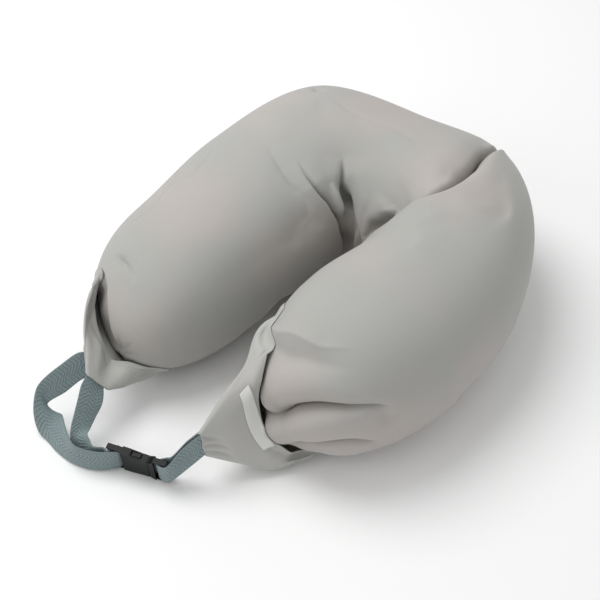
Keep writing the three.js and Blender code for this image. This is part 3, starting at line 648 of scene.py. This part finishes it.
def loft(name, grid, across_mm, wrap_rings=False):
    """Closed piece over a grid of rings. Its map runs in metres, along and then round, across_mm wide."""
    rings, around = grid.shape[:2]
    number, pair = grid_faces(rings, around, wrap_rings)
    points = grid.reshape(-1, 3)
    steps = np.linalg.norm(np.diff(grid, axis=0), axis=2).mean(axis=1)
    along = np.concatenate([[0], np.cumsum(steps)]) * MM
    along = np.append(along, along[-1] + steps[-1] * MM)
    uv = np.stack([along[pair[..., 0]], pair[..., 1] / around * across_mm * MM], axis=-1).reshape(-1, 2)
    faces = number.tolist()
    if not wrap_rings:
        points = np.concatenate([points, grid[0].mean(axis=0)[None], grid[-1].mean(axis=0)[None]])
        first, last = rings * around, rings * around + 1
        base = (rings - 1) * around
        extra = []
        for j in range(around):
            k = (j + 1) % around
            faces.append([first, k, j])
            faces.append([last, base + j, base + k])
            v, w = j / around * across_mm * MM, (j + 1) / around * across_mm * MM
            extra += [(along[0], (v + w) / 2), (along[0], w), (along[0], v)]
            extra += [(along[-2], (v + w) / 2), (along[-2], v), (along[-2], w)]
        uv = np.concatenate([uv, np.array(extra)])
    mesh = bpy.data.meshes.new(name)
    mesh.from_pydata(to_frame(points).tolist(), [], faces)
    mesh.uv_layers.new(name="UVMap").data.foreach_set("uv", np.asarray(uv, np.float32).ravel())
    mesh.polygons.foreach_set("use_smooth", [True] * len(mesh.polygons))
    face_out(mesh)
    mesh.update()
    piece = bpy.data.objects.new(name, mesh)
    bpy.context.scene.collection.objects.link(piece)
    return piece


def face_out(mesh):
    """Turns a closed mesh's faces round if they point in."""
    mesh.calc_loop_triangles()
    corner = np.zeros(3 * len(mesh.loop_triangles), np.int32)
    mesh.loop_triangles.foreach_get("vertices", corner)
    place = np.zeros(3 * len(mesh.vertices), np.float32)
    mesh.vertices.foreach_get("co", place)
    a, b, c = np.moveaxis(place.reshape(-1, 3)[corner.reshape(-1, 3)].astype(float), 1, 0)
    if (a * np.cross(b, c)).sum() < 0:
        mesh.flip_normals()


def hood_skin(rows, around, along):
    """Points of a hood's skin. around is shares round it (m), along shares to the tip (n, m)."""
    rings = np.array([catmull(row, around, closed=True) for row in rows])
    return catmull(rings, along, closed=False)


def surface_of(piece):
    """Signed distance in millimetres to a closed piece, and its outward direction, for drawing points."""
    mesh = piece.data
    tree = BVHTree.FromPolygons([v.co for v in mesh.vertices], [p.vertices for p in mesh.polygons])

    def measure(points):
        away, out = np.zeros(len(points)), np.zeros((len(points), 3))
        for k, point in enumerate(to_frame(points)):
            near, normal, _, _ = tree.find_nearest(Vector(point))
            gap = Vector(point) - near
            away[k] = math.copysign(gap.length, gap.dot(normal)) / MM
            out[k] = normal
        return away, out

    return measure


def smooth_round(values, width):
    """Smooths values round a ring with a bell of that many places."""
    reach = int(3 * width)
    weights = np.exp(-0.5 * (np.arange(-reach, reach + 1) / width) ** 2)
    weights /= weights.sum()
    padded = np.concatenate([values[-reach:], values, values[:reach]])
    return np.convolve(padded, weights, mode="valid")


def blurred(moves, times=3, around="wrap"):
    """Moves of a grid, smoothed both ways. around is wrap for a closed grid and edge for an open one."""
    for _ in range(times):
        wide = np.pad(moves, ((0, 0), (1, 1), (0, 0)), mode=around)
        moves = (wide[:, :-2] + 2 * moves + wide[:, 2:]) / 4
        tall = np.pad(moves, ((1, 1), (0, 0), (0, 0)), mode="edge")
        moves = (tall[:-2] + 2 * moves + tall[2:]) / 4
    return moves


def hood_grid(rows, mouth, folds, cushion):
    """Outer and inner layers of a hood, from its mouth to its tip, clear of the cushion."""
    around = np.arange(HOOD_AROUND) / HOOD_AROUND
    trial = np.broadcast_to(np.linspace(0, 1, HOOD_ALONG)[:, None], (HOOD_ALONG, HOOD_AROUND))
    skin = hood_skin(rows, around, trial)
    away, _ = cushion(skin.reshape(-1, 3))
    away = away.reshape(HOOD_ALONG, HOOD_AROUND)
    under = (away < HOOD_THICK + HOOD_CLEAR) & (trial < UNDER_SHARE)
    last_under = HOOD_ALONG - 1 - np.argmax(under[::-1], axis=0)
    flush = smooth_round(np.where(under.any(axis=0), last_under / (HOOD_ALONG - 1), 0), FLUSH_BLUR)
    start, end = mouth["open"]
    rise = np.clip(np.minimum(around - start, end - around) / mouth["blend"], 0, 1)
    is_open = rise * rise * (3 - 2 * rise)
    most, last, ramp = mouth["snug"]
    turned = np.where(around < 0.25, around + 1, around)
    flush = np.maximum(flush - most * np.clip(np.minimum(turned - 0.5, last - turned) / ramp, 0, 1), 0)
    rim = flush + (mouth["along"] - flush) * is_open
    share = np.linspace(0, 1, HOOD_ALONG)[:, None] ** HOOD_CROWDING
    grid = hood_skin(rows, around, rim[None] + (1 - rim[None]) * share)
    steps = np.linalg.norm(np.diff(grid, axis=0), axis=2)
    from_rim = np.concatenate([np.zeros((1, HOOD_AROUND)), np.cumsum(steps, axis=0)])
    hem = mouth["hem"] * is_open / (1 + np.exp((from_rim - HEM_WIDE) / HEM_BLEND))
    stitch = mouth["hem"] * is_open * np.exp(-((from_rim - HEM_WIDE + STITCH_INSET) / STITCH_WIDE) ** 2)
    taper = np.clip(from_rim / EDGE_TAPER, 0, 1) * (1 - is_open) + is_open
    normal = grid_normals(grid)
    moves, _ = fold_moves(grid.reshape(-1, 3), normal.reshape(-1, 3), folds)
    grid = grid + moves.reshape(grid.shape)
    thick = HOOD_EDGE + (HOOD_THICK - HOOD_EDGE) * taper
    hug = (np.exp(-(from_rim / HUG_REACH) ** 2) * (1 - is_open)).ravel()
    for _ in range(CLEAR_STEPS):
        away, _ = cushion(grid.reshape(-1, 3))
        lift = thick.ravel() + HOOD_CLEAR - away
        lift = np.clip(np.where(lift > 0, lift, lift * hug), -HUG_STEP, LIFT_STEP)
        grid = grid + blurred(grid_normals(grid) * lift.reshape(HOOD_ALONG, HOOD_AROUND, 1))
    normal = grid_normals(grid)
    inner = grid - normal * thick[..., None]
    grid = grid + normal * (HEM_RAISE * hem - HEM_RAISE * stitch)[..., None]
    grid[..., 2] = np.maximum(grid[..., 2], HOOD_FLOOR_GAP)
    inner[..., 2] = np.maximum(inner[..., 2], LINING_FLOOR_GAP)
    return grid, inner


EDGE_BULGE = 0.9


def round_edges(outer, inner):
    """Rings of a closed shell whose mouth and tip edges are rounded."""
    half = np.linalg.norm(outer - inner, axis=2, keepdims=True) / 2
    ends = []
    for edge, nxt in ((0, 1), (-1, -2)):
        out_of = outer[edge] - outer[nxt]
        out_of /= np.maximum(np.linalg.norm(out_of, axis=1, keepdims=True), 1e-9)
        middle = (outer[edge] + inner[edge]) / 2 + out_of * half[edge] * EDGE_BULGE
        ends.append(middle)
    return np.concatenate([ends[0][None], outer, ends[1][None], inner[::-1]])


def buckle_axes():
    place = BUCKLE_PLACE
    return (Matrix.Translation((place["x"], place["y"], place["z"]))
            @ Matrix.Rotation(math.radians(place["turn"]), 4, "Z")
            @ Matrix.Rotation(math.radians(place["lean"]), 4, "X"))


def at_buckle(along, side, up):
    return tuple(buckle_axes() @ Vector((along, side, up)))


def on_edge(along, side, lift=0.0):
    """Upper and lower edge point of a strap that stands on its edge at the buckle."""
    low = (BUCKLE_HIGH - STRAP_WIDE) / 2 + lift
    return (at_buckle(along, side, low + STRAP_WIDE), at_buckle(along, side, low))


def turn_round(bar, direction, start, end, steps=4):
    rows = []
    for i in range(steps + 1):
        turn = math.radians(start + (end - start) * i / steps)
        rows.append(on_edge(bar + direction * BAR_REACH * math.sin(turn), -BAR_REACH * math.cos(turn)))
    return rows


def turned_over(rows):
    return [(lower, upper) for upper, lower in rows]


# Rows of the straps' upper and lower edge points, from one sewn end to the bar and back.
LEFT_STRAP = [
    ((-114, -192, 66), (-98, -194, 51)), ((-119, -197, 73), (-110, -205, 51)),
    ((-131, -215, 63), (-123, -220, 37)), ((-141, -230, 50), (-135, -233, 25)),
    ((-143, -236, 43), (-132, -233, 19)), ((-141, -246, 22), (-120, -232, 20)),
    ((-133, -251, 4), (-114, -236, 22)), ((-121, -253, 1), (-107, -242, 25)),
    ((-107, -257, 1), (-98, -249, 26)), ((-87, -259, 1), (-84, -256, 26)),
    ((-68, -255, 1), (-68, -253, 26)), ((-55, -247, 2), (-55, -247, 27)),
    *turned_over([*turn_round(LEFT_BAR, 1, 40, 195), on_edge(6, 1.4), on_edge(4.5, -1.2),
                  on_edge(2, -4.8)]),
    ((-60, -244, 2), (-60, -244, 27)), ((-71, -250, 2), (-69, -248, 27)),
    ((-85, -252, 7), (-76, -244, 27)), ((-94, -250, 17), (-82, -240, 26)),
    ((-98, -244, 27), (-85, -233, 24)), ((-100, -235, 38), (-86, -223, 30)),
    ((-101, -227, 49), (-85, -214, 39)), ((-102, -219, 60), (-87, -208, 46)),
    ((-101, -211, 68), (-90, -204, 50)), ((-105, -205, 67), (-92, -201, 49)),
]
RIGHT_STRAP = [
    ((22, -190, 62), (26, -192, 39)), ((19, -204, 60), (22.5, -205, 35)), ((9, -218, 47), (13, -217, 22)),
    on_edge(60.5, -5.2, 5.5), on_edge(55, -5.2, 1.5), *turn_round(RIGHT_BAR, -1, 20, 160),
    on_edge(55, 5.2, 1.5), on_edge(60.5, 5.4, 6),
    ((8, -210, 49), (11, -208, 24)), ((16, -202, 60), (19.5, -203, 35)), ((18.5, -190, 62), (22, -191, 39)),
]


def strap_grid(rows, steps_a_row=14, across=12):
    """Rings of a webbing band with round selvedges, and its length."""
    at = np.linspace(0, 1, steps_a_row * (len(rows) - 1) + 1)
    upper = catmull([r[0] for r in rows], at, closed=False)
    lower = catmull([r[1] for r in rows], at, closed=False)
    width = lower - upper
    width /= np.linalg.norm(width, axis=1, keepdims=True)
    along = np.gradient((upper + lower) / 2, axis=0)
    face = np.cross(along, width)
    face /= np.linalg.norm(face, axis=1, keepdims=True)
    half = STRAP_THICK / 2
    flat = half + (STRAP_WIDE - 2 * half) * np.arange(across + 1) / across
    turn = np.radians([30, 60, 90, 120, 150])
    bulge, fall = half * np.sin(turn), half * np.cos(turn)
    face_of = np.full(across + 1, half)
    ring = np.array([np.concatenate([flat, STRAP_WIDE - half + bulge, flat[::-1], half - bulge]),
                     np.concatenate([face_of, fall, -face_of, -fall])]).T
    real_width = np.linalg.norm(lower - upper, axis=1)[:, None, None]
    grid = (upper[:, None] + width[:, None] * ring[None, :, :1] * real_width / STRAP_WIDE
            + face[:, None] * ring[None, :, 1:])
    middle = (upper + lower) / 2
    return grid, np.linalg.norm(np.diff(middle, axis=0), axis=1).sum()


# The label's edges near the mouth and near the tip: share round the hood, and shares along its skin.
LABEL_EDGES = [(0.165, 0.472, 0.584), (0.258, 0.348, 0.517), (0.323, 0.281, 0.483), (0.377, 0.258, 0.461),
               (0.432, 0.281, 0.438)]
LABEL_LIFT = 0.5
LABEL_THICK = 0.8


def label_grid(rows, hood, steps=60, across=16):
    share = np.linspace(0, 1, steps + 1)
    around, near, far = catmull(LABEL_EDGES, share, closed=False).T
    shares = [near + (far - near) * k / across for k in range(across + 1)]
    low = np.array([hood_skin(rows, around, along[None])[0] for along in shares])
    for _ in range(3):
        away, out = hood(low.reshape(-1, 3))
        out = blurred(out.reshape(low.shape), 6, "edge")
        out /= np.linalg.norm(out, axis=2, keepdims=True)
        lift = (LABEL_LIFT - away).reshape(low.shape[:2])[..., None]
        low = low + blurred(out * lift, 4, "edge")
    high = low + out * LABEL_THICK
    return np.concatenate([high, low[::-1]]).transpose(1, 0, 2)


def node_material(name, color, roughness):
    material = bpy.data.materials.new(name)
    material.use_nodes = True
    shader = material.node_tree.nodes["Principled BSDF"]
    shader.inputs["Base Color"].default_value = (*color, 1)
    shader.inputs["Roughness"].default_value = roughness
    return material, shader


def add_node(tree, kind, values=(), **settings):
    """Adds a shader node with settings and input values, each value (socket, constant or output)."""
    node = tree.nodes.new("ShaderNode" + kind)
    for key, value in settings.items():
        setattr(node, key, value)
    for socket, value in values:
        if isinstance(value, bpy.types.NodeSocket):
            tree.links.new(value, node.inputs[socket])
        else:
            node.inputs[socket].default_value = value
    return node


def math_of(tree, operation, *values):
    return add_node(tree, "Math", list(enumerate(values)), operation=operation).outputs[0]


def noise_of(tree, vector, scale, detail):
    values = [("Vector", vector), ("Scale", scale), ("Detail", detail)]
    return add_node(tree, "TexNoise", values).outputs["Fac"]


def wave_of(tree, vector, scale, way, distortion, detail, detail_scale):
    values = [("Vector", vector), ("Scale", scale), ("Distortion", distortion), ("Detail", detail),
              ("Detail Scale", detail_scale)]
    return add_node(tree, "TexWave", values, bands_direction=way).outputs["Fac"]


def ramp_of(tree, fac, stops):
    node = add_node(tree, "ValToRGB", [("Fac", fac)])
    for element, (position, color) in zip(node.color_ramp.elements, stops):
        element.position = position
        element.color = (*color, 1)
    return node.outputs["Color"]


def finish_cloth(tree, shader, color, height, strength, distance, sheen):
    tree.links.new(color, shader.inputs["Base Color"])
    bump = add_node(tree, "Bump", [("Strength", strength), ("Distance", distance), ("Height", height)])
    tree.links.new(bump.outputs["Normal"], shader.inputs["Normal"])
    shader.inputs["Sheen Weight"].default_value = sheen
    shader.inputs["Specular IOR Level"].default_value = 0.3


def cloth_material(name, cool, warm, thread_m, dark_share, warm_from=0.42):
    """Plain-woven cloth: broad patches from cool to warm, and threads both ways on the piece's map."""
    cool, warm = linear(*cool), linear(*warm)
    material, shader = node_material(name, warm, 0.82)
    shader.inputs["Sheen Roughness"].default_value = 0.4
    tree = material.node_tree
    place = add_node(tree, "TexCoord").outputs
    patches = noise_of(tree, place["Object"], 9.0, 2.0)
    tone = ramp_of(tree, patches, [(warm_from, cool), (warm_from + 0.22, warm)])
    scale = 2 * math.pi / (20 * thread_m)
    threads = [wave_of(tree, place["UV"], scale, way, 0.6, 1.0, 0.3) for way in ("X", "Y")]
    slubs = noise_of(tree, place["Object"], 900.0, 1.0)
    grain = math_of(tree, "MULTIPLY", math_of(tree, "ADD", *threads), slubs)
    shade = ramp_of(tree, grain, [(0.1, (dark_share,) * 3), (0.75, (1, 1, 1))])
    mixed = add_node(tree, "MixRGB", [("Fac", 1.0), ("Color1", tone), ("Color2", shade)],
                     blend_type="MULTIPLY")
    finish_cloth(tree, shader, mixed.outputs["Color"], grain, 0.35, 0.0003, 0.2)
    return material


def webbing_material(name, dark, light):
    """Herringbone webbing with flecks of dark and light yarn. The map runs along, then round the band."""
    dark, light = linear(*dark), linear(*light)
    material, shader = node_material(name, light, 0.8)
    tree = material.node_tree
    place = add_node(tree, "TexCoord").outputs["UV"]
    split = add_node(tree, "SeparateXYZ", [("Vector", place)]).outputs
    zigzag = math_of(tree, "PINGPONG", split["Y"], HERRINGBONE_WIDE)
    slanted = add_node(tree, "CombineXYZ", [("X", split["X"]), ("Y", zigzag)]).outputs[0]
    twill = wave_of(tree, slanted, 165.0, "DIAGONAL", 1.5, 2.0, 3.0)
    stretched = add_node(tree, "VectorMath", [(0, place), (1, (900.0, 2600.0, 0.0))], operation="MULTIPLY")
    flecks = math_of(tree, "MULTIPLY", noise_of(tree, stretched.outputs[0], 1.0, 1.0), 0.9)
    yarn = math_of(tree, "MULTIPLY_ADD", twill, 0.12, flecks)
    tone = ramp_of(tree, yarn, [(0.25, dark), (0.75, light)])
    finish_cloth(tree, shader, tone, twill, 0.6, 0.0006, 0.15)
    return material


def linear(red, green, blue):
    """Scene colour of a screen colour given as 0 to 255."""
    def one(v):
        v /= 255
        return v / 12.92 if v <= 0.04045 else ((v + 0.055) / 1.055) ** 2.4
    return (one(red), one(green), one(blue))


def finish_piece(piece, material, slot, *nodes):
    piece.data.materials.append(material)
    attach(piece, "root")
    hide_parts(*nodes)
    return piece


SHIFT = drawing_shift()

cloth = cloth_material("tube_cloth", TUBE_COOL, TUBE_WARM, CLOTH_THREAD, 0.93)
# The hoods get a lighter copy of the tube's cloth, painted light against the shade on the hoods.
hood_cloth = cloth_material("hood_cloth", HOOD_COOL_PAINTED_LIGHTER, HOOD_WARM_PAINTED_LIGHTER, CLOTH_THREAD, 0.95, 0.55)
tape = cloth_material("label_tape", TAPE_COOL, TAPE_WARM, TAPE_THREAD, 0.93)
webbing = webbing_material("webbing", WEBBING_DARK, WEBBING_LIGHT)
plastic, plastic_shader = node_material("buckle_plastic", linear(*BUCKLE_BLACK), 0.27)
plastic_shader.inputs["Specular IOR Level"].default_value = 0.12

cushion = make_cushion()
finish_piece(cushion, cloth, "cushion_cloth", "cushion")
cushion_surface = surface_of(cushion)

for side, rows, mouth, folds in (("left", LEFT_HOOD, LEFT_MOUTH, LEFT_HOOD_FOLDS),
                                 ("right", RIGHT_HOOD, RIGHT_MOUTH, RIGHT_HOOD_FOLDS)):
    outer, inner = hood_grid(rows, mouth, folds, cushion_surface)
    shell = loft(f"hood_{side}_cloth", round_edges(outer, inner), HOOD_ROUND, wrap_rings=True)
    finish_piece(shell, hood_cloth, "hood_cloth", f"hood_{side}")
    if side == "right":
        hood_surface = surface_of(shell)

label = loft("label_tape", label_grid(RIGHT_HOOD, hood_surface), LABEL_ROUND)
finish_piece(label, tape, "label_tape", "label")

for side, rows in (("left", LEFT_STRAP), ("right", RIGHT_STRAP)):
    grid, long = strap_grid(rows)
    strap = loft(f"strap_{side}_webbing", grid, SELVEDGE_ROUND)
    finish_piece(strap, webbing, "webbing", f"strap_{side}")

for name in ("buckle_socket", "buckle_plug"):
    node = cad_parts[name]
    node.data.materials.clear()
    node.data.materials.append(plastic)
    edges = node.modifiers.new("rounded", "BEVEL")
    edges.width = 0.35 * MM
    edges.segments = 2
    edges.limit_method = "ANGLE"
    edges.angle_limit = math.radians(35)
    edges.harden_normals = True


def area_light(name, place, size, power):
    data = bpy.data.lights.new(name, "AREA")
    data.shape = "DISK"
    data.size = size
    data.energy = power
    light = bpy.data.objects.new(name, data)
    light.location = place
    light.rotation_mode = "QUATERNION"
    light.rotation_quaternion = (Vector(LIGHT_TARGET) - Vector(place)).to_track_quat("-Z", "Y")
    bpy.context.scene.collection.objects.link(light)


def make_studio():
    mesh = bpy.data.meshes.new("floor")
    half = FLOOR_HALF
    corners = [(-half, -half, 0), (half, -half, 0), (half, half, 0), (-half, half, 0)]
    mesh.from_pydata(corners, [], [(0, 1, 2, 3)])
    floor = bpy.data.objects.new("floor", mesh)
    floor.location.z = -FLOOR_DROP
    bpy.context.scene.collection.objects.link(floor)
    material, _ = node_material("floor", (0.93, 0.93, 0.93), 0.9)
    mesh.materials.append(material)
    world = bpy.data.worlds.new("studio")
    world.use_nodes = True
    world.node_tree.nodes["Background"].inputs["Color"].default_value = (1, 1, 1, 1)
    world.node_tree.nodes["Background"].inputs["Strength"].default_value = WORLD_LIGHT
    bpy.context.scene.world = world
    area_light("key", **KEY)
    area_light("fill", **FILL)
    bpy.context.scene.view_settings.view_transform = "Standard"


def make_camera():
    azimuth, elevation, roll = (math.radians(VIEW[k]) for k in ("azimuth", "elevation", "roll"))
    back = Vector((math.sin(azimuth) * math.cos(elevation), -math.cos(azimuth) * math.cos(elevation),
                   math.sin(elevation)))
    right = Vector((math.cos(azimuth), math.sin(azimuth), 0))
    up = back.cross(right)
    rolled_right = right * math.cos(roll) + up * math.sin(roll)
    rolled_up = up * math.cos(roll) - right * math.sin(roll)
    data = bpy.data.cameras.new("camera")
    data.lens = VIEW["lens"]
    data.sensor_width = 36
    camera = bpy.data.objects.new("camera", data)
    axes = Matrix((rolled_right, rolled_up, back)).transposed().to_4x4()
    target = Vector(to_frame(VIEW_TARGET))
    camera.matrix_world = Matrix.Translation(target + back * VIEW["distance"] * MM) @ axes
    bpy.context.scene.collection.objects.link(camera)
    bpy.context.scene.camera = camera


make_studio()
make_camera()
